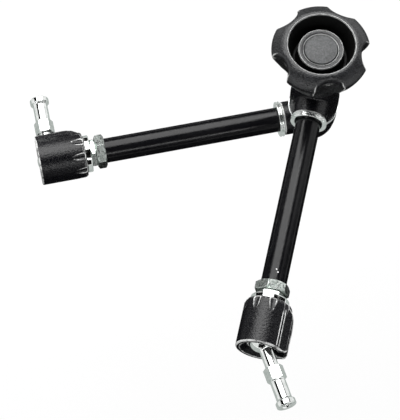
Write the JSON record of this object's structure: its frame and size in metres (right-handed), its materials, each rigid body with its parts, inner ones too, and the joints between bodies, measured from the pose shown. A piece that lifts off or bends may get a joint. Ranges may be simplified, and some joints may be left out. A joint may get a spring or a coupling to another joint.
{
  "type": "articulating friction arm",
  "caption": "Folding camera support arm: tube arms on a lockable elbow with a lobed hand wheel, and a swivelling ball stud at each end.",
  "frame": {"origin": "centre of the end face of stud A, the stud that a clamp holds", "axes": "-Y out of stud A along its axis, +Z along the elbow turning axis towards the hand wheel"},
  "size_m": [0.2738, 0.3361, 0.1382],
  "materials": {
    "black_plastic": "fine texture",
    "grey_plastic": "fine texture",
    "black_enamel": "wrinkle enamel",
    "black_tube": "satin black",
    "chrome": "bright",
    "zinc": "bright zinc plate",
    "steel": "turned",
    "brass": "turned",
    "nylon": "plain"
  },
  "bodies": {
    "clamped_stud": {"stud_a": "chrome"},
    "ball_a": {"ball_shank_a": "chrome"},
    "head_a": {"ball_housing_a": "black_enamel", "head_ring_a": "chrome"},
    "arm_a": {"tube_a": "black_tube", "elbow_ring_a": "chrome", "tube_nut_a": "zinc", "head_sleeve_a": "zinc", "upper_elbow": "black_enamel"},
    "rod_a": {"push_rod_a": "steel", "pressure_pad_a": "nylon"},
    "wedge": {"upper_wedge": "steel", "thrust_washer": "zinc"},
    "hand_wheel": {"knob": "black_plastic", "knob_cap": "grey_plastic", "knob_bush": "brass"},
    "arm_b": {"tube_b": "black_tube", "elbow_ring_b": "chrome", "tube_nut_b": "zinc", "head_sleeve_b": "zinc", "lower_elbow": "black_enamel", "friction_disc": "chrome"},
    "bolt": {"tie_bolt": "steel", "lower_wedge": "steel"},
    "rod_b": {"push_rod_b": "steel", "pressure_pad_b": "nylon"},
    "head_b": {"ball_housing_b": "black_enamel", "head_ring_b": "chrome"},
    "ball_b": {"ball_shank_b": "chrome"},
    "free_stud": {"stud_b": "chrome"}
  },
  "joints": [
    {"name": "stud_a_spin", "type": "hinge", "parent": "clamped_stud", "child": "ball_a", "pos_m": [0, 0.0581, 0], "axis": [0, -1, 0], "range_deg": [-180, 180]},
    {"name": "ball_a_tilt", "type": "hinge", "parent": "ball_a", "child": "head_a", "pos_m": [0, 0.0581, 0], "axis": [0, 0, 1], "range_deg": [-59, 62]},
    {"name": "head_a_turn", "type": "hinge", "parent": "head_a", "child": "arm_a", "pos_m": [0, 0.0581, 0], "axis": [-0.515, -0.8572, 0], "range_deg": [-180, 180]},
    {"name": "knob_turn", "type": "hinge", "parent": "wedge", "child": "hand_wheel", "pos_m": [0.11527, 0.24993, -0.0272], "axis": [0, 0, 1], "range_deg": [0, 360]},
    {"name": "wedge_slide", "type": "slide", "parent": "arm_a", "child": "wedge", "axis": [0, 0, 1], "range_m": [0, 0.000751]},
    {"name": "rod_a_slide", "type": "slide", "parent": "arm_a", "child": "rod_a", "axis": [0.515, 0.8572, 0], "range_m": [0, 0.0003507]},
    {"name": "elbow_turn", "type": "hinge", "parent": "arm_a", "child": "arm_b", "pos_m": [0.11527, 0.24993, -0.0272], "axis": [0, 0, 1], "continuous": true},
    {"name": "bolt_slide", "type": "slide", "parent": "arm_b", "child": "bolt", "axis": [0, 0, -1], "range_m": [0, 0.000751]},
    {"name": "rod_b_slide", "type": "slide", "parent": "arm_b", "child": "rod_b", "axis": [0.9923, -0.1236, 0], "range_m": [0, 0.0003507]},
    {"name": "head_b_turn", "type": "hinge", "parent": "arm_b", "child": "head_b", "pos_m": [-0.10682, 0.2776, -0.0423], "axis": [-0.9923, 0.1236, 0], "continuous": true},
    {"name": "ball_b_tilt", "type": "hinge", "parent": "head_b", "child": "ball_b", "pos_m": [-0.10682, 0.2776, -0.0423], "axis": [0, 0, 1], "range_deg": [0, 121]},
    {"name": "stud_b_spin", "type": "hinge", "parent": "ball_b", "child": "free_stud", "pos_m": [-0.10682, 0.2776, -0.0423], "axis": [0.1236, 0.9923, 0], "continuous": true}
  ],
  "couplings": [
    {"joint": "wedge_slide", "follows": "knob_turn", "m_per_rad": 0.00011937},
    {"joint": "rod_a_slide", "follows": "knob_turn", "m_per_rad": 0.000055661},
    {"joint": "bolt_slide", "follows": "knob_turn", "m_per_rad": 0.00011937},
    {"joint": "rod_b_slide", "follows": "knob_turn", "m_per_rad": 0.000055661}
  ]
}
